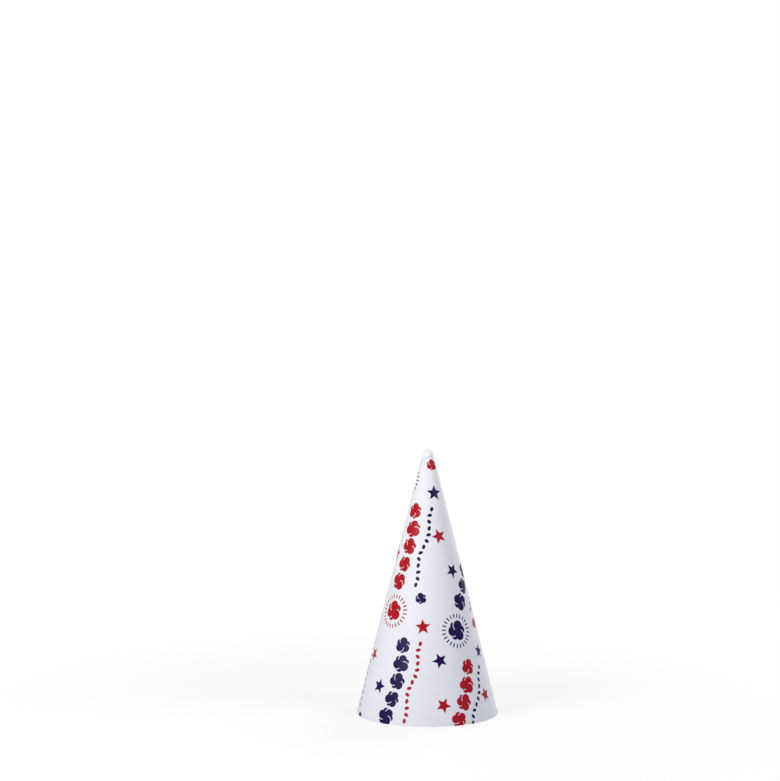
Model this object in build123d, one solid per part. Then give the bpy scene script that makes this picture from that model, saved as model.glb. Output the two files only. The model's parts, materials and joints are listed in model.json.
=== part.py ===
from build123d import *
from math import acos, asinh, atan, cos, degrees, hypot, radians, sin, sinh, tan
import os

# A paper cone rolled from one flat sheet, standing on its mouth with the closed tip up.
# Millimetres and degrees. The origin is the centre of the rim, and +Z points to the tip.

# Cone
mouth_radius = 58.7        # inside the sheet, at the rim
apex_height = 234.1        # from the rim to the point that the inside face runs towards
paper_thickness = 0.2

# Straight outer edge of the sheet, glued down over its inner edge
lap_width = 10.4           # at the rim
lap_azimuth = 41.0         # where the outer edge meets the rim
edge_offset = 17.6         # nearest that this edge comes to the apex, in the flat sheet
edge_spans = 24

# Blunt tip, where the corner of the sheet is wound tight and pressed over
tip_setback = 14.2         # from the apex down to the crown, on the axis
tip_tilt = 22.0            # the crown slopes down towards +X
tip_round = 2.0
tip_shift = 0.7            # of the pressed round, towards +X
tip_depth = 3.0            # how far down the pressing reaches
tip_fold = 0.6             # paper folded across the tip

# Reach of a cut past the face that it cuts
overrun = 1.0

half_angle = atan(mouth_radius / apex_height)
slant_length = hypot(mouth_radius, apex_height)
ply = paper_thickness / cos(half_angle)
lap_angle = degrees(lap_width / mouth_radius)
start_azimuth = lap_azimuth - lap_angle
crown_height = apex_height - tip_setback
rim_flat_angle = acos(edge_offset / slant_length)


def inside_radius(height):
    return (apex_height - height) * tan(half_angle)


# One turn of the sheet from above, drawn as four tangent quarter circles whose centres step
# round a small square, so that the turn ends one ply further out than it starts.
def turn_outline(start_radius, height):
    growth = ply / 4
    centre = Vector(-growth / 2, growth / 2).rotate(Axis.Z, start_azimuth)
    arcs = []
    for quarter in range(4):
        azimuth = start_azimuth + 90 * quarter
        arcs.append(CenterArc(centre, start_radius + growth * quarter, azimuth, 90))
        centre -= Vector(growth, 0).rotate(Axis.Z, azimuth + 90)
    step = Line(arcs[-1] @ 1, arcs[0] @ 0)
    return Pos(0, 0, height) * make_face([*arcs, step])


# Tapered body out to the face that lies this many plies outside the start of the sheet
def turned_body(plies, low, high):
    levels = [low, high]
    outlines = [turn_outline(inside_radius(z) + plies * ply, z) for z in levels]
    return loft(outlines, ruled=True)


# A point of the sheet's outer edge on the rolled cone, seen from above. The distance runs
# along the straight edge from its nearest place to the apex.
def edge_point(distance):
    flat_angle = atan(distance / edge_offset)
    azimuth = radians(lap_azimuth) + (rim_flat_angle - flat_angle) / sin(half_angle)
    radius = hypot(distance, edge_offset) * sin(half_angle)
    return Vector(radius * cos(azimuth), radius * sin(azimuth))


# Upright column over the part of the cone that the second turn of the sheet covers. Its side
# is the outer edge, which climbs from the rim and winds once round the tip.
def lap_column():
    inner_flat_angle = rim_flat_angle - radians(360 - lap_angle) * sin(half_angle)
    inner = asinh(tan(inner_flat_angle))
    outer = asinh((slant_length + overrun) / edge_offset)
    steps = [inner + (outer - inner) * span / edge_spans for span in range(edge_spans + 1)]
    edge = Spline([edge_point(edge_offset * sinh(step)) for step in steps])
    far = Vector(slant_length, 0).rotate(Axis.Z, start_azimuth)
    outline = make_face([edge, Line(edge @ 1, far), Line(far, edge @ 0)])
    return extrude(Pos(0, 0, -overrun) * outline, apex_height)


# Everything below the pressed tip: a tilted, rounded post for the crown over a plain drum
def pressed_space(drop):
    post_radius = inside_radius(crown_height) + 2 * ply + tip_shift
    post = Pos(0, 0, -tip_depth) * Cylinder(post_radius, 2 * tip_depth)
    post = fillet(post.edges().sort_by(Axis.Z)[-1], tip_round)
    post = Pos(tip_shift, 0, crown_height) * Rot(0, tip_tilt, 0) * post
    drum_height = crown_height - tip_depth + 2 * overrun
    drum = Cylinder(slant_length, drum_height, align=(Align.CENTER, Align.CENTER, Align.MIN))
    return Pos(0, 0, -drop) * (post + Pos(0, 0, -overrun) * drum)


def rolled_cone():
    top = crown_height + tip_depth
    first_turn = turned_body(1, 0, top)
    second_turn = turned_body(2, 0, top) & lap_column()
    outside = (first_turn + second_turn) & pressed_space(0)
    hollow = turned_body(0, -overrun, top) & pressed_space(tip_fold)
    return outside - hollow


os.makedirs("parts", exist_ok=True)
export_step(rolled_cone(), "parts/paper_cone.step")
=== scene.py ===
import json
import math

import bpy
from mathutils import Matrix, Vector

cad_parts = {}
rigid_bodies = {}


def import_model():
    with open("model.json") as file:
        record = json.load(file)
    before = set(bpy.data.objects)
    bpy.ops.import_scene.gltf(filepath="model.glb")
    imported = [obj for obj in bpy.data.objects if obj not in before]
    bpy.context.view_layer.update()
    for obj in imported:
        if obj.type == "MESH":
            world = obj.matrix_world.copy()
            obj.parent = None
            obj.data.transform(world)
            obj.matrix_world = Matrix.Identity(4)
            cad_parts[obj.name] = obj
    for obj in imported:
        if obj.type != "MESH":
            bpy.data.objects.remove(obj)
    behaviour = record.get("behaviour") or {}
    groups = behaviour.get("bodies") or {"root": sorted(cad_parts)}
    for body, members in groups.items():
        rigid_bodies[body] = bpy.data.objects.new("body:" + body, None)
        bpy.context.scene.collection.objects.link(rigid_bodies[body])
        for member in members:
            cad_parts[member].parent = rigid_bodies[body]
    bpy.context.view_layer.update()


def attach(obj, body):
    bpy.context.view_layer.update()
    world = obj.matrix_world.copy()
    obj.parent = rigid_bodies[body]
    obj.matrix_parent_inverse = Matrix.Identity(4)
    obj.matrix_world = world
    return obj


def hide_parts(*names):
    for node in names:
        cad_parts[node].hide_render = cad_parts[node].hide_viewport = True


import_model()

mm = 0.001

# The sheet of paper, in metres and degrees. The rim is at height 0 and the front is at -Y.
sheet = {
    "mouthRadius": 58.7 * mm,
    "apexHeight": 234.1 * mm,
    "thickness": 0.19 * mm,
    "plyPitch": 0.206 * mm,        # how far one turn lies outside the one before
    "lapWidth": 10.4 * mm,
    "lapAzimuth": 41.0,            # where the outer edge meets the rim
    "edgeOffset": 17.6 * mm,       # nearest that the outer edge comes to the apex, laid flat
    "columnsPerTurn": 144,
    "tipRows": 42,
    "tipReach": 30 * mm,           # the closer rows end here
    "wallRows": 58,
    "wallCrowding": 1.25,          # above 1 the wall's rows lie closer towards the tip
    "wallInset": 0.28 * mm,        # the wound plies stay inside the cone's outline
    "tipInset": 0.60 * mm,         # and this much further in at the tip
    "tipInsetReach": 14 * mm,
    "weld": 0.001 * mm,            # corners this close are one
    "smoothAngle": 40,
}

# The blunt tip, pressed over
tip = {
    "shoulder": 16.36 * mm,        # distance from the apex along the wall
    "round": 2.7 * mm,
    "roundShare": -0.12,           # added to the round towards +X, taken off towards -X
    "pinhole": 0.12 * mm,          # left open in the middle of the crown
    "slope": 15.0,                 # the crown falls towards +X
    "slopeReach": 4.5 * mm,
    "pleatDepth": 0.08 * mm,
    "pleats": ((4, 0.3), (7, 1.9), (11, 4.0)),     # pleats a turn, start
}

# How the rolled paper departs from a true cone: waves a turn, depth at the rim, start
handling = {
    "waves": ((2, 0.20 * mm, 0.6), (3, 0.12 * mm, 2.2), (5, 0.06 * mm, 0.9), (8, 0.03 * mm, 4.0)),
    "edgeLift": 0.12 * mm,         # of the outer straight edge
    "edgeLiftTip": 0.85 * mm,      # more near the tip, fading with the distance from it
    "edgeLiftFade": 3 * mm,
    "edgeLiftReach": 1.3 * mm,
    "cornerPress": 0.5,            # radians before the sheet's corner where its edge goes down
    "wrapSlack": 0.1,              # radians by which a corner may lie before the inner edge
}

# The sheet laid flat, with the apex at 0, 0 and the front of the cone straight below it
flatMap = {"side": 500 * mm, "left": 250 * mm, "below": 300 * mm}

halfAngle = math.atan(sheet["mouthRadius"] / sheet["apexHeight"])
slant = math.hypot(sheet["mouthRadius"], sheet["apexHeight"])
lapAngle = sheet["lapWidth"] / sheet["mouthRadius"]
startAzimuth = math.radians(sheet["lapAzimuth"]) - lapAngle
frontFlat = (math.radians(270) - startAzimuth) * math.sin(halfAngle)
crownRadius = tip["shoulder"] * math.sin(halfAngle) - tip["round"] * math.cos(halfAngle)
firstRow = tip["shoulder"] - tip["round"] * (math.pi / 2 - halfAngle) - crownRadius + tip["pinhole"]
nearestFlat = (2 * math.pi + lapAngle) * math.sin(halfAngle) + math.acos(sheet["edgeOffset"] / slant)


def selectNothing():
    for thing in bpy.context.view_layer.objects:
        thing.select_set(False)


def makeActive(thing):
    selectNothing()
    thing.select_set(True)
    bpy.context.view_layer.objects.active = thing


def flatDirection(angle):
    return Vector((math.sin(angle - frontFlat), -math.cos(angle - frontFlat), 0))


def rowDistances():
    reach = sheet["tipReach"] - firstRow
    near = [firstRow + reach * i / sheet["tipRows"] for i in range(sheet["tipRows"])]
    reach = slant - sheet["tipReach"]
    wall = [i / sheet["wallRows"] for i in range(sheet["wallRows"] + 1)]
    return near + [sheet["tipReach"] + reach * share ** sheet["wallCrowding"] for share in wall]


def cutFlatSheet():
    distances = rowDistances()
    bpy.ops.mesh.primitive_plane_add(size=1)
    paper = bpy.context.active_object
    paper.name = paper.data.name = "printed_paper_cone"
    makeActive(paper)
    # one side of the plane becomes the inner straight edge, divided into rows
    bpy.ops.object.mode_set(mode="EDIT")
    bpy.ops.mesh.select_mode(type="VERT")
    bpy.ops.mesh.select_all(action="DESELECT")
    bpy.ops.object.mode_set(mode="OBJECT")
    for corner in paper.data.vertices:
        corner.select = corner.co.x > 0
    bpy.ops.object.mode_set(mode="EDIT")
    bpy.ops.mesh.delete(type="VERT")
    bpy.ops.mesh.select_all(action="SELECT")
    bpy.ops.mesh.subdivide(number_cuts=len(distances) - 2)
    bpy.ops.object.mode_set(mode="OBJECT")
    inOrder = sorted(paper.data.vertices, key=lambda corner: corner.co.y)
    for corner, distance in zip(inOrder, distances):
        corner.co = flatDirection(0) * distance
    # the edge sweeps half a turn round the apex, and the outer straight edge is cut from that
    columnAngle = 2 * math.pi * math.sin(halfAngle) / sheet["columnsPerTurn"]
    bpy.ops.object.mode_set(mode="EDIT")
    bpy.ops.mesh.select_all(action="SELECT")
    columns = round(math.pi / columnAngle)
    bpy.ops.mesh.spin(steps=columns, angle=-math.pi, center=(0, 0, 0), axis=(0, 0, 1))
    bpy.ops.mesh.select_all(action="SELECT")
    outward = flatDirection(nearestFlat)
    bpy.ops.mesh.bisect(
        plane_co=outward * sheet["edgeOffset"], plane_no=outward, clear_outer=True,
        threshold=sheet["weld"]
    )
    bpy.ops.mesh.select_all(action="SELECT")
    bpy.ops.mesh.remove_doubles(threshold=sheet["weld"])
    bpy.ops.mesh.normals_make_consistent(inside=False)
    bpy.ops.object.mode_set(mode="OBJECT")
    flatUv = paper.data.uv_layers.new(name="flatSheet")
    for loop in paper.data.loops:
        place = paper.data.vertices[loop.vertex_index].co
        across = (place.x + flatMap["left"]) / flatMap["side"]
        flatUv.data[loop.index].uv = (across, (place.y + flatMap["below"]) / flatMap["side"])
    return paper


def wallProfile(distance, azimuth):
    # radius, height and the two parts of the outward normal, at a distance from the apex
    inset = sheet["wallInset"]
    inset += sheet["tipInset"] * math.exp(-max(distance - tip["shoulder"], 0) / sheet["tipInsetReach"])
    arc = tip["round"] * (1 + tip["roundShare"] * math.cos(azimuth))
    # a rounder side starts to bend further down, so that both sides reach the same crown
    shoulder = tip["shoulder"] + (arc - tip["round"]) * (1 - math.sin(halfAngle)) / math.cos(halfAngle)
    if distance >= shoulder:
        along = (distance * math.sin(halfAngle) - inset, (slant - distance) * math.cos(halfAngle))
        return (*along, math.cos(halfAngle), math.sin(halfAngle))
    past = shoulder - distance
    lean = min(halfAngle + past / arc, math.pi / 2)
    radius = shoulder * math.sin(halfAngle) - inset - arc * (math.cos(halfAngle) - math.cos(lean))
    height = (slant - shoulder) * math.cos(halfAngle) + arc * (math.sin(lean) - math.sin(halfAngle))
    onArc = arc * (math.pi / 2 - halfAngle)
    if past > onArc:
        share = (past - onArc) / (shoulder - firstRow - onArc)
        radius += (tip["pinhole"] - radius) * share
    return radius, height, math.cos(lean), math.sin(lean)


def easeIn(value):
    share = min(max(value, 0), 1)
    return share * share * (3 - 2 * share)


def rolledPlace(place):
    distance = place.length
    flatAngle = frontFlat + math.atan2(place.x, -place.y)
    flatAngle = (flatAngle + handling["wrapSlack"]) % (2 * math.pi) - handling["wrapSlack"]
    turn = flatAngle / math.sin(halfAngle)
    azimuth = startAzimuth + turn
    radius, height, normalOut, normalUp = wallProfile(distance, azimuth)
    past = easeIn((tip["shoulder"] + tip["round"] - distance) / (2 * tip["round"]))
    pleat = sum(math.sin(count * azimuth + start) for count, start in tip["pleats"])
    fromEdge = sheet["edgeOffset"] - place.dot(flatDirection(nearestFlat))
    lift = sheet["thickness"] + sheet["plyPitch"] * turn / (2 * math.pi)
    nearTip = math.exp(-max(distance - tip["shoulder"], 0) / handling["edgeLiftFade"])
    edgeLift = handling["edgeLift"] + handling["edgeLiftTip"] * nearTip
    edgeLift *= easeIn((math.pi - flatAngle) / handling["cornerPress"])
    lift += edgeLift * math.exp(-fromEdge / handling["edgeLiftReach"]) * (1 - past)
    lift += tip["pleatDepth"] * pleat * past * min(radius / tip["round"], 1)
    wave = sum(depth * math.sin(count * azimuth + start) for count, depth, start in handling["waves"])
    radius += lift * normalOut + wave * distance / slant
    height += lift * normalUp
    across = radius * math.cos(azimuth)
    crownFoot = (slant - tip["shoulder"]) * math.cos(halfAngle)
    sloping = easeIn((height - crownFoot + tip["slopeReach"]) / (tip["slopeReach"] + tip["round"]))
    height -= math.tan(math.radians(tip["slope"])) * across * sloping
    return Vector((across, radius * math.sin(azimuth), height))


def rollSheet(paper):
    for corner in paper.data.vertices:
        corner.co = rolledPlace(corner.co)
    makeActive(paper)
    bpy.ops.object.mode_set(mode="EDIT")
    bpy.ops.mesh.select_all(action="SELECT")
    bpy.ops.mesh.normals_make_consistent(inside=False)
    bpy.ops.object.mode_set(mode="OBJECT")
    # the faces of a rolled sheet point away from its axis
    middle = max(paper.data.polygons, key=lambda face: face.area)
    if middle.normal.dot(Vector((middle.center.x, middle.center.y, 0))) < 0:
        paper.data.flip_normals()


def thickenSheet(paper, materials):
    for material in materials:
        paper.data.materials.append(material)
    solid = paper.modifiers.new("thickness", "SOLIDIFY")
    solid.thickness = sheet["thickness"]
    solid.offset = -1
    solid.use_even_offset = True
    solid.material_offset = 1
    solid.material_offset_rim = 2
    makeActive(paper)
    bpy.ops.object.modifier_apply(modifier=solid.name)
    for corner in paper.data.vertices:
        if corner.co.z < sheet["thickness"]:
            corner.co.z = 0        # the cut rim stands level
    bpy.ops.object.shade_smooth_by_angle(angle=math.radians(sheet["smoothAngle"]))


# Nodes

def setSocket(tree, socket, value):
    if isinstance(value, bpy.types.NodeSocket):
        tree.links.new(value, socket)
    elif value is not None:
        socket.default_value = value


def calc(tree, operation, *values, clamp=False):
    step = tree.nodes.new("ShaderNodeMath")
    step.operation = operation
    step.use_clamp = clamp
    for socket, value in zip(step.inputs, values):
        setSocket(tree, socket, value)
    return step.outputs[0]


def calcVector(tree, operation, *values):
    step = tree.nodes.new("ShaderNodeVectorMath")
    step.operation = operation
    for socket, value in zip(step.inputs, values):
        setSocket(tree, socket, value)
    return step.outputs["Value" if operation in ("DOT_PRODUCT", "LENGTH", "DISTANCE") else "Vector"]


def scaled(tree, vector, factor):
    step = tree.nodes.new("ShaderNodeVectorMath")
    step.operation = "SCALE"
    setSocket(tree, step.inputs[0], vector)
    setSocket(tree, step.inputs["Scale"], factor)
    return step.outputs["Vector"]


def turned(tree, vector, angle):
    step = tree.nodes.new("ShaderNodeVectorRotate")
    step.rotation_type = "Z_AXIS"
    setSocket(tree, step.inputs["Vector"], vector)
    setSocket(tree, step.inputs["Angle"], angle)
    return step.outputs[0]


def parts(tree, vector):
    step = tree.nodes.new("ShaderNodeSeparateXYZ")
    setSocket(tree, step.inputs[0], vector)
    return step.outputs[0], step.outputs[1]


def joined(tree, across, along):
    step = tree.nodes.new("ShaderNodeCombineXYZ")
    setSocket(tree, step.inputs[0], across)
    setSocket(tree, step.inputs[1], along)
    return step.outputs[0]


def mixed(tree, factor, first, second):
    # inputs 6 and 7 and output 2 are the node's colours
    step = tree.nodes.new("ShaderNodeMix")
    step.data_type = "RGBA"
    setSocket(tree, step.inputs["Factor"], factor)
    setSocket(tree, step.inputs[6], first)
    setSocket(tree, step.inputs[7], second)
    return step.outputs[2]


def startGroup(name, inputs, outputs):
    tree = bpy.data.node_groups.new(name, "ShaderNodeTree")
    kinds = {"vector": "NodeSocketVector", "value": "NodeSocketFloat", "colour": "NodeSocketColor"}
    for label, kind in inputs.items():
        tree.interface.new_socket(name=label, in_out="INPUT", socket_type=kinds[kind])
    for label, kind in outputs.items():
        tree.interface.new_socket(name=label, in_out="OUTPUT", socket_type=kinds[kind])
    return tree, tree.nodes.new("NodeGroupInput").outputs, tree.nodes.new("NodeGroupOutput").inputs


def useGroup(tree, group, **values):
    step = tree.nodes.new("ShaderNodeGroup")
    step.node_tree = group
    for label, value in values.items():
        setSocket(tree, step.inputs[label], value)
    return step.outputs


# The print, in millimetres on the flat sheet
printing = {
    "down": (-8.9, -110.5),        # steps of the repeat; the two inks change places at each step
    "right": (57.6, -16.5),
    # each motif: place, turn, ink at the even steps, shift at the odd ones
    "stars": (
        ((5.2, -50.15), 3, 0, (0, 0)),
        ((9.6, -85.95), 25.5, 1, (9.8, 8.6)),
        ((22.6, -113.5), -24, 0, (0, 0)),
    ),
    "starRadius": 6.6,
    "starPoints": 5,
    "starPoint": 22,               # degrees between a side and the radius through its point
    "garland": ((-25.5, -204.5), -15, 0, (0, 0)),
    "garlandPitch": 14.8,
    "garlandEachWay": 2,           # kernels on either side of the middle one
    "garlandBow": -0.0032,         # sideways for each square millimetre along
    "garlandTurn": 1.9,            # radians from one kernel to the next
    "garlandKernel": 1.34,
    "garlandSway": 0.08,           # how much the kernels' sizes vary
    "garlandRate": 2.3,            # radians a kernel in that
    "seeds": ((-12.3, -205.5), -14, 1, (0, 0)),
    "seedPitch": 5.3,
    "seedEachWay": 6,
    "seedSway": 1.6,               # sideways
    "seedRate": 0.9,               # radians a kernel in that
    "seedTurn": 2.1,
    "seedRadius": 2.0,
    "seedSlimness": 1.45,          # length of a hard kernel over its width
    "burst": ((-31.5, -146.5), 0, 1, (0, 0)),
    "burstRadius": 12.4,
    "burstKernel": 1.62,
    "rays": 24,
    "rayHalfWidth": 0.55,
    "rayHalfLength": 1.7,
    "single": ((-5.5, -137.5), 20, 0, (0, 0)),
    "singleKernel": 0.9,
    "softEdge": 0.10,              # half the width over which the ink fades
    # lobes of a popped kernel from front to back: direction, distance out and radius
    "bigLobes": ((80, 2.7, 2.9), (-50, 2.6, 2.8), (-175, 2.6, 2.8)),
    "smallLobes": ((15, 3.1, 2.2), (-115, 3.2, 1.9), (135, 3.7, 1.7)),
    "crease": 0.20,                # half the width of the bare line
    "heart": 1.6,                  # no crease reaches in here
    "navy": (0.0070, 0.0006, 0.060, 1),
    "navyThin": (0.016, 0.005, 0.100, 1),          # where the ink lies thin
    "red": (0.440, 0.0040, 0.0090, 1),
    "redThin": (0.530, 0.012, 0.022, 1),
}


def inkMask(tree, distance):
    # 1 where the distance is below zero, with the soft edge of ink on paper
    return calc(tree, "MULTIPLY_ADD", distance, -0.5 / printing["softEdge"], 0.5, clamp=True)


def nearestRepeat(tree, place, origin):
    # the way from the nearest repeat of a motif, and whether that is an even or an odd step
    downX, downY = printing["down"]
    rightX, rightY = printing["right"]
    size = downX * rightY - rightX * downY
    perDown = (rightY / size, -rightX / size, 0)
    perRight = (-downY / size, downX / size, 0)
    fromOrigin = calcVector(tree, "SUBTRACT", place, (*origin, 0))
    downCount = calc(tree, "ROUND", calcVector(tree, "DOT_PRODUCT", fromOrigin, perDown))
    rightCount = calc(tree, "ROUND", calcVector(tree, "DOT_PRODUCT", fromOrigin, perRight))
    local = calcVector(tree, "SUBTRACT", fromOrigin, scaled(tree, (downX, downY, 0), downCount))
    local = calcVector(tree, "SUBTRACT", local, scaled(tree, (rightX, rightY, 0), rightCount))
    return local, calc(tree, "PINGPONG", calc(tree, "ADD", downCount, rightCount), 1)


def starGroup():
    # points with straight sides, folded onto half of one
    inputs = {"Local": "vector", "Radius": "value"}
    tree, given, result = startGroup("print_star", inputs, {"Ink": "value"})
    across, along = parts(tree, given["Local"])
    radius = calcVector(tree, "LENGTH", given["Local"])
    angle = calc(tree, "ARCTAN2", across, along)
    folded = calc(tree, "PINGPONG", angle, math.pi / printing["starPoints"])
    lean = math.radians(printing["starPoint"])
    side = calc(tree, "SINE", calc(tree, "ADD", folded, lean))
    reach = calc(tree, "MULTIPLY", given["Radius"], math.sin(lean))
    distance = calc(tree, "SUBTRACT", calc(tree, "MULTIPLY", radius, side), reach)
    setSocket(tree, result["Ink"], inkMask(tree, distance))
    return tree


def kernelGroup():
    # a popped kernel: lobes round a heart, the big ones with a crease where they cover the next
    inputs = {"Local": "vector", "Size": "value"}
    tree, given, result = startGroup("print_kernel", inputs, {"Ink": "value"})
    local = scaled(tree, given["Local"], calc(tree, "DIVIDE", 1, given["Size"]))
    fromHeart = calc(tree, "SUBTRACT", calcVector(tree, "LENGTH", local), printing["heart"])
    near, crease = fromHeart, -1
    for direction, out, radius in printing["bigLobes"] + printing["smallLobes"]:
        x, y = math.cos(math.radians(direction)), math.sin(math.radians(direction))
        fromLobe = calcVector(tree, "DISTANCE", local, (out * x, out * y, 0))
        lobe = calc(tree, "SUBTRACT", fromLobe, radius)
        if (direction, out, radius) in printing["bigLobes"]:
            line = calc(tree, "SUBTRACT", printing["crease"], calc(tree, "ABSOLUTE", lobe))
            line = calc(tree, "MINIMUM", line, calcVector(tree, "DOT_PRODUCT", local, (-y, x, 0)))
            crease = calc(tree, "MAXIMUM", crease, calc(tree, "MINIMUM", line, near))
        near = calc(tree, "MINIMUM", near, lobe)
    outline = calc(tree, "ADD", near, printing["crease"])
    setSocket(tree, result["Ink"], inkMask(tree, calc(tree, "MAXIMUM", outline, crease)))
    return tree


def countAlong(tree, along, pitch, most):
    # which item of a row this is, counted from the middle one, and how far along from its centre
    count = calc(tree, "ROUND", calc(tree, "DIVIDE", along, pitch))
    count = calc(tree, "MINIMUM", calc(tree, "MAXIMUM", count, -most), most)
    return count, calc(tree, "SUBTRACT", along, calc(tree, "MULTIPLY", count, pitch))


def sineOf(tree, count, rate, depth):
    return calc(tree, "MULTIPLY", calc(tree, "SINE", calc(tree, "MULTIPLY", count, rate)), depth)


def garlandGroup(kernel):
    # popped kernels on a bowed line, each turned another way
    tree, given, result = startGroup("print_garland", {"Local": "vector"}, {"Ink": "value"})
    across, along = parts(tree, given["Local"])
    pitch = printing["garlandPitch"]
    count, along = countAlong(tree, along, pitch, printing["garlandEachWay"])
    squared = calc(tree, "MULTIPLY", count, count)
    bow = calc(tree, "MULTIPLY", squared, printing["garlandBow"] * pitch * pitch)
    across = calc(tree, "SUBTRACT", across, bow)
    turn = calc(tree, "MULTIPLY", count, printing["garlandTurn"])
    local = turned(tree, joined(tree, across, along), turn)
    sway = sineOf(tree, count, printing["garlandRate"], printing["garlandSway"])
    size = calc(tree, "ADD", printing["garlandKernel"], sway)
    setSocket(tree, result["Ink"], useGroup(tree, kernel, Local=local, Size=size)["Ink"])
    return tree


def seedGroup():
    # a wavering row of hard kernels
    tree, given, result = startGroup("print_seeds", {"Local": "vector"}, {"Ink": "value"})
    across, along = parts(tree, given["Local"])
    count, along = countAlong(tree, along, printing["seedPitch"], printing["seedEachWay"])
    sway = sineOf(tree, count, printing["seedRate"], printing["seedSway"])
    across = calc(tree, "SUBTRACT", across, sway)
    turn = calc(tree, "MULTIPLY", count, printing["seedTurn"])
    local = turned(tree, joined(tree, across, along), turn)
    stretched = calcVector(tree, "MULTIPLY", local, (printing["seedSlimness"], 1, 1))
    egg = calcVector(tree, "LENGTH", stretched)
    distance = calc(tree, "SUBTRACT", egg, printing["seedRadius"])
    setSocket(tree, result["Ink"], inkMask(tree, distance))
    return tree


def burstGroup(kernel):
    # one popped kernel inside a ring of short rays
    tree, given, result = startGroup("print_burst", {"Local": "vector"}, {"Ink": "value"})
    across, along = parts(tree, given["Local"])
    radius = calcVector(tree, "LENGTH", given["Local"])
    angle = calc(tree, "ARCTAN2", across, along)
    folded = calc(tree, "PINGPONG", angle, math.pi / printing["rays"])
    aside = calc(tree, "MULTIPLY", radius, calc(tree, "SINE", folded))
    aside = calc(tree, "SUBTRACT", aside, printing["rayHalfWidth"])
    offRing = calc(tree, "ABSOLUTE", calc(tree, "SUBTRACT", radius, printing["burstRadius"]))
    offRing = calc(tree, "SUBTRACT", offRing, printing["rayHalfLength"])
    rays = inkMask(tree, calc(tree, "MAXIMUM", aside, offRing))
    inside = useGroup(tree, kernel, Local=given["Local"], Size=printing["burstKernel"])["Ink"]
    setSocket(tree, result["Ink"], calc(tree, "MAXIMUM", rays, inside))
    return tree


def printGroup():
    outputs = {"Navy": "value", "Red": "value"}
    tree, given, result = startGroup("popcorn_print", {"Place": "vector"}, outputs)
    star, kernel = starGroup(), kernelGroup()
    motifs = [(place, star, {"Radius": printing["starRadius"]}) for place in printing["stars"]]
    motifs.append((printing["garland"], garlandGroup(kernel), {}))
    motifs.append((printing["seeds"], seedGroup(), {}))
    motifs.append((printing["burst"], burstGroup(kernel), {}))
    motifs.append((printing["single"], kernel, {"Size": printing["singleKernel"]}))
    inks = [0, 0]
    for (origin, turn, firstInk, shift), motif, values in motifs:
        local, oddStep = nearestRepeat(tree, given["Place"], origin)
        local = calcVector(tree, "SUBTRACT", local, scaled(tree, (*shift, 0), oddStep))
        local = turned(tree, local, math.radians(-turn))
        mask = useGroup(tree, motif, Local=local, **values)["Ink"]
        other = calc(tree, "MULTIPLY", mask, oddStep)
        same = calc(tree, "SUBTRACT", mask, other)
        for index, share in ((firstInk, same), (1 - firstInk, other)):
            inks[index] = calc(tree, "MAXIMUM", inks[index], share)
    setSocket(tree, result["Navy"], inks[0])
    setSocket(tree, result["Red"], inks[1])
    return tree


# Paper, as it looks and feels without its print
paperLook = {
    "face": (0.912, 0.908, 0.908, 1),
    "faceThin": (0.82, 0.82, 0.86, 1),
    # painted shade: the inside of the sheet is set darker and bluer than the face, for the shade inside
    # the cone
    "back": (0.80, 0.815, 0.85, 1),
    "backThinPaintedShade": (0.74, 0.75, 0.79, 1),
    # the cut edge is raw paper, set darker and warmer partly as painted shadow for the dark line along
    # the lap's edge
    "cutEdge": (0.86, 0.85, 0.83, 1),
    "cutEdgeThin": (0.74, 0.72, 0.69, 1),
    "ghost": 0.10,                 # how much of the print shows through
    "ghostInk": (0.30, 0.28, 0.42, 1),
    "inkThinning": 2,              # power of the fibres' relief by which the ink thins
    "cloudSize": 7.0,              # millimetres, like the other sizes here
    "cloudDepth": 0.02,
    "cloudDetail": 4,
    "fibreSize": 0.30,
    "fibreHeight": 0.004,
    "fibreDetail": 3,
    "fibreBend": 1.2,
    "fibreStretch": 0.45,          # below 1 the fibres lie along the flat sheet's Y
    "backRelief": 2.5,             # times the height of the fibres on the face
    "cutEdgeRelief": 4,
    "faceRoughness": 0.46,
    "faceSwing": 0.06,             # how much the roughness changes with the fibres
    "inkRoughness": 0.40,
    "backRoughness": 0.78,
    "backSwing": 0.1,
    "cutEdgeRoughness": 0.9,
    "shine": 0.16,
}


def paperGroup():
    # cloudiness of the sheet, and the small relief of its fibres
    outputs = {"Tone": "value", "Relief": "value"}
    tree, given, result = startGroup("paper_fibre", {"Place": "vector"}, outputs)
    cloud = tree.nodes.new("ShaderNodeTexNoise")
    cloud.inputs["Scale"].default_value = 1 / paperLook["cloudSize"]
    cloud.inputs["Detail"].default_value = paperLook["cloudDetail"]
    fibre = tree.nodes.new("ShaderNodeTexNoise")
    fibre.inputs["Scale"].default_value = 1 / paperLook["fibreSize"]
    fibre.inputs["Detail"].default_value = paperLook["fibreDetail"]
    fibre.inputs["Distortion"].default_value = paperLook["fibreBend"]
    setSocket(tree, cloud.inputs["Vector"], given["Place"])
    stretched = calcVector(tree, "MULTIPLY", given["Place"], (1, paperLook["fibreStretch"], 1))
    setSocket(tree, fibre.inputs["Vector"], stretched)
    depth = paperLook["cloudDepth"]
    setSocket(tree, result["Tone"], calc(tree, "MULTIPLY_ADD", cloud.outputs[0], depth * 2, 1 - depth))
    setSocket(tree, result["Relief"], fibre.outputs[0])
    return tree


def startMaterial(name):
    material = bpy.data.materials.new(name)
    material.use_nodes = True
    tree = material.node_tree
    surface = tree.nodes["Principled BSDF"]
    flat = tree.nodes.new("ShaderNodeUVMap")
    flat.uv_map = "flatSheet"
    side = flatMap["side"] / mm
    place = calcVector(tree, "MULTIPLY", flat.outputs[0], (side, side, 0))
    place = calcVector(tree, "SUBTRACT", place, (flatMap["left"] / mm, flatMap["below"] / mm, 0))
    return material, tree, surface, place


def addRelief(tree, surface, height, distance):
    bump = tree.nodes.new("ShaderNodeBump")
    bump.inputs["Distance"].default_value = distance * mm
    setSocket(tree, bump.inputs["Height"], height)
    setSocket(tree, surface.inputs["Normal"], bump.outputs[0])


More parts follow.
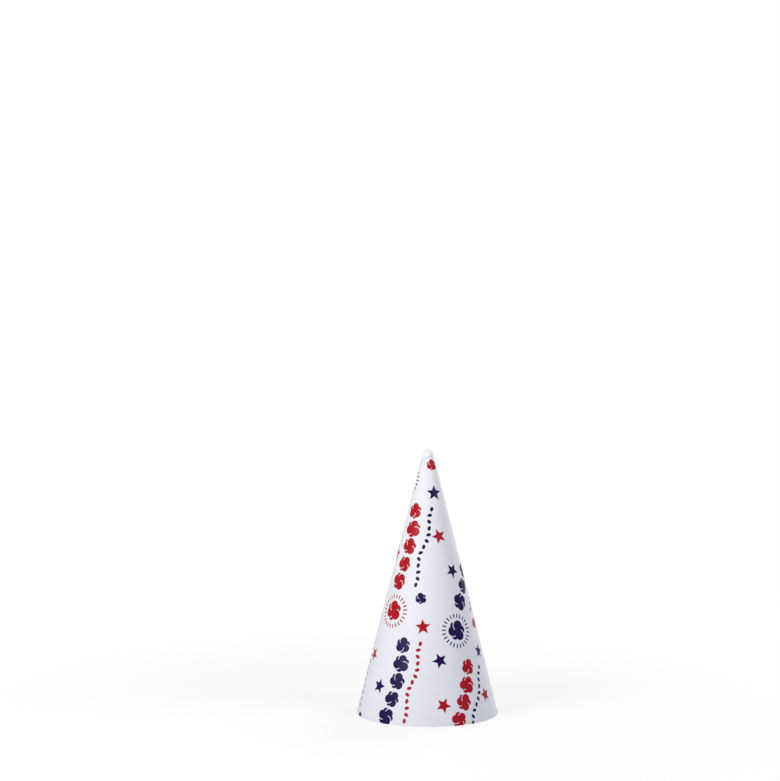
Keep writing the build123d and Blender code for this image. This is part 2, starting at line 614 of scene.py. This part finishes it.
def printedFace(fibre, popcornPrint):
    material, tree, surface, place = startMaterial("printed_coated_paper")
    paper = useGroup(tree, fibre, Place=place)
    inks = useGroup(tree, popcornPrint, Place=place)
    colour = mixed(tree, paper["Tone"], paperLook["faceThin"], paperLook["face"])
    uneven = calc(tree, "POWER", paper["Relief"], paperLook["inkThinning"])
    for ink in ("red", "navy"):
        inkColour = mixed(tree, uneven, printing[ink], printing[ink + "Thin"])
        colour = mixed(tree, inks[ink.capitalize()], colour, inkColour)
    setSocket(tree, surface.inputs["Base Color"], colour)
    covered = calc(tree, "MAXIMUM", inks["Navy"], inks["Red"])
    smoother = paperLook["inkRoughness"] - paperLook["faceRoughness"]
    swing = paperLook["faceSwing"]
    gloss = calc(tree, "MULTIPLY_ADD", covered, smoother, paperLook["faceRoughness"] - swing / 2)
    roughness = calc(tree, "MULTIPLY_ADD", paper["Relief"], swing, gloss)
    setSocket(tree, surface.inputs["Roughness"], roughness)
    surface.inputs["Specular IOR Level"].default_value = paperLook["shine"]
    addRelief(tree, surface, paper["Relief"], paperLook["fibreHeight"])
    return material


def plainBack(fibre, popcornPrint):
    material, tree, surface, place = startMaterial("paper_inside_painted_shade")
    paper = useGroup(tree, fibre, Place=place)
    inks = useGroup(tree, popcornPrint, Place=place)
    covered = calc(tree, "MAXIMUM", inks["Navy"], inks["Red"])
    shade = calc(tree, "MULTIPLY", covered, paperLook["ghost"])
    # the bare inside paper carries painted shade, darker and bluer than the face
    bare = mixed(tree, paper["Tone"], paperLook["backThinPaintedShade"], paperLook["back"])
    setSocket(tree, surface.inputs["Base Color"], mixed(tree, shade, bare, paperLook["ghostInk"]))
    swing = paperLook["backSwing"]
    lowest = paperLook["backRoughness"] - swing / 2
    roughness = calc(tree, "MULTIPLY_ADD", paper["Relief"], swing, lowest)
    setSocket(tree, surface.inputs["Roughness"], roughness)
    addRelief(tree, surface, paper["Relief"], paperLook["fibreHeight"] * paperLook["backRelief"])
    return material


def cutEdge(fibre):
    material, tree, surface, place = startMaterial("cut_paper_edge_with_painted_shadow")
    paper = useGroup(tree, fibre, Place=place)
    # raw edge colour, partly painted shadow along the lap's edge
    colour = mixed(tree, paper["Relief"], paperLook["cutEdgeThin"], paperLook["cutEdge"])
    setSocket(tree, surface.inputs["Base Color"], colour)
    surface.inputs["Roughness"].default_value = paperLook["cutEdgeRoughness"]
    addRelief(tree, surface, paper["Relief"], paperLook["fibreHeight"] * paperLook["cutEdgeRelief"])
    return material


# Studio: floor, lamps and world
studio = {
    "floorSize": 6.0,
    "floorBounce": (0.18, 0.25, 0.46, 1),
    "floorSeen": (0.93, 0.93, 0.94, 1),
    "floorRoughness": 0.9,
    "floorShine": 0.1,
    "floorGlow": 0.70,             # how far the seen floor is lifted towards plain white
    "glowNear": 0.08,              # from here to the next distance it rises to plain white
    "glowFar": 0.48,
    "worldLight": 0.38,
    "worldTint": (0.985, 0.978, 1.0, 1),
    "worldSeen": (1, 1, 1, 1),
    "lamps": {
        "key": {"place": (-0.42, -0.42, 0.39), "size": 0.36, "power": 2.85, "tint": (1.0, 0.985, 0.97)},
        "fill": {"place": (0.58, -0.30, 0.55), "size": 0.4, "power": 1.8, "tint": (1.0, 0.96, 0.98)},
        "back": {"place": (0.42, 0.60, 0.50), "size": 0.6, "power": 3.2, "tint": (1.0, 0.98, 0.96)},
    },
    "lampAim": (0, 0, 0.11),
}

# The camera's place and its downward, sideways and rolling turns, fitted to the photograph
photoView = {
    "place": (0, -1.77979, 0.38665),
    "down": 3.776,
    "aside": -1.026,
    "roll": 0.185,
    "focalPixels": 2152.07,
    "longSidePixels": 781,
    "sensor": 36,
}


def layFloor():
    bpy.ops.mesh.primitive_plane_add(size=studio["floorSize"])
    floor = bpy.context.active_object
    floor.name = "studio_floor"
    material = bpy.data.materials.new("studio_floor")
    material.use_nodes = True
    tree = material.node_tree
    surface = tree.nodes["Principled BSDF"]
    surface.inputs["Roughness"].default_value = studio["floorRoughness"]
    surface.inputs["Specular IOR Level"].default_value = studio["floorShine"]
    rays = tree.nodes.new("ShaderNodeLightPath").outputs
    seen = calc(tree, "MAXIMUM", rays["Is Camera Ray"], rays["Is Glossy Ray"])
    colour = mixed(tree, seen, studio["floorBounce"], studio["floorSeen"])
    setSocket(tree, surface.inputs["Base Color"], colour)
    # far from the cone the floor runs out into the white background
    away = calcVector(tree, "LENGTH", tree.nodes.new("ShaderNodeTexCoord").outputs["Object"])
    far = tree.nodes.new("ShaderNodeMapRange")
    far.interpolation_type = "SMOOTHERSTEP"
    setSocket(tree, far.inputs["Value"], away)
    setSocket(tree, far.inputs["From Min"], studio["glowNear"])
    setSocket(tree, far.inputs["From Max"], studio["glowFar"])
    glow = calc(tree, "MULTIPLY_ADD", far.outputs[0], 1 - studio["floorGlow"], studio["floorGlow"])
    glow = calc(tree, "MULTIPLY", glow, seen)
    white = tree.nodes.new("ShaderNodeEmission")
    blend = tree.nodes.new("ShaderNodeMixShader")
    setSocket(tree, blend.inputs[0], glow)
    setSocket(tree, blend.inputs[1], surface.outputs[0])
    setSocket(tree, blend.inputs[2], white.outputs[0])
    setSocket(tree, tree.nodes["Material Output"].inputs["Surface"], blend.outputs[0])
    floor.data.materials.append(material)


def hangLamps():
    for name, lamp in studio["lamps"].items():
        bpy.ops.object.light_add(type="AREA", location=lamp["place"])
        light = bpy.context.active_object
        light.name = name + "_lamp"
        light.data.size = lamp["size"]
        light.data.energy = lamp["power"]
        light.data.color = lamp["tint"]
        aim = Vector(studio["lampAim"]) - light.location
        light.rotation_euler = aim.to_track_quat("-Z", "Y").to_euler()


def lightWorld():
    world = bpy.data.worlds.new("studio")
    bpy.context.scene.world = world
    world.use_nodes = True
    tree = world.node_tree
    soft = tree.nodes["Background"]
    soft.inputs["Color"].default_value = studio["worldTint"]
    soft.inputs["Strength"].default_value = studio["worldLight"]
    white = tree.nodes.new("ShaderNodeBackground")
    white.inputs["Color"].default_value = studio["worldSeen"]
    rays = tree.nodes.new("ShaderNodeLightPath").outputs
    blend = tree.nodes.new("ShaderNodeMixShader")
    setSocket(tree, blend.inputs[0], rays["Is Camera Ray"])
    setSocket(tree, blend.inputs[1], soft.outputs[0])
    setSocket(tree, blend.inputs[2], white.outputs[0])
    setSocket(tree, tree.nodes["World Output"].inputs["Surface"], blend.outputs[0])


def placeCamera():
    bpy.ops.object.camera_add(location=photoView["place"])
    camera = bpy.context.active_object
    down, aside, roll = (math.radians(photoView[turn]) for turn in ("down", "aside", "roll"))
    level = math.cos(down)
    ahead = Vector((math.sin(aside) * level, math.cos(aside) * level, -math.sin(down)))
    sideways = ahead.cross(Vector((0, 0, 1))).normalized()
    upright = sideways.cross(ahead)
    right = math.cos(roll) * sideways + math.sin(roll) * upright
    up = math.cos(roll) * upright - math.sin(roll) * sideways
    camera.rotation_euler = Matrix((right, up, -ahead)).transposed().to_euler()
    camera.data.sensor_width = photoView["sensor"]
    camera.data.lens = photoView["focalPixels"] / photoView["longSidePixels"] * photoView["sensor"]
    bpy.context.scene.camera = camera


selectNothing()
paper = cutFlatSheet()
print("sheet cut:", len(paper.data.polygons), "faces")
rollSheet(paper)
fibre, popcornPrint = paperGroup(), printGroup()
materials = [printedFace(fibre, popcornPrint), plainBack(fibre, popcornPrint), cutEdge(fibre)]
thickenSheet(paper, materials)
print("sheet rolled:", len(paper.data.polygons), "faces")
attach(paper, "root")
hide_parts("paper_cone")

layFloor()
hangLamps()
lightWorld()
placeCamera()
bpy.context.scene.view_settings.view_transform = "Standard"
print("studio ready")
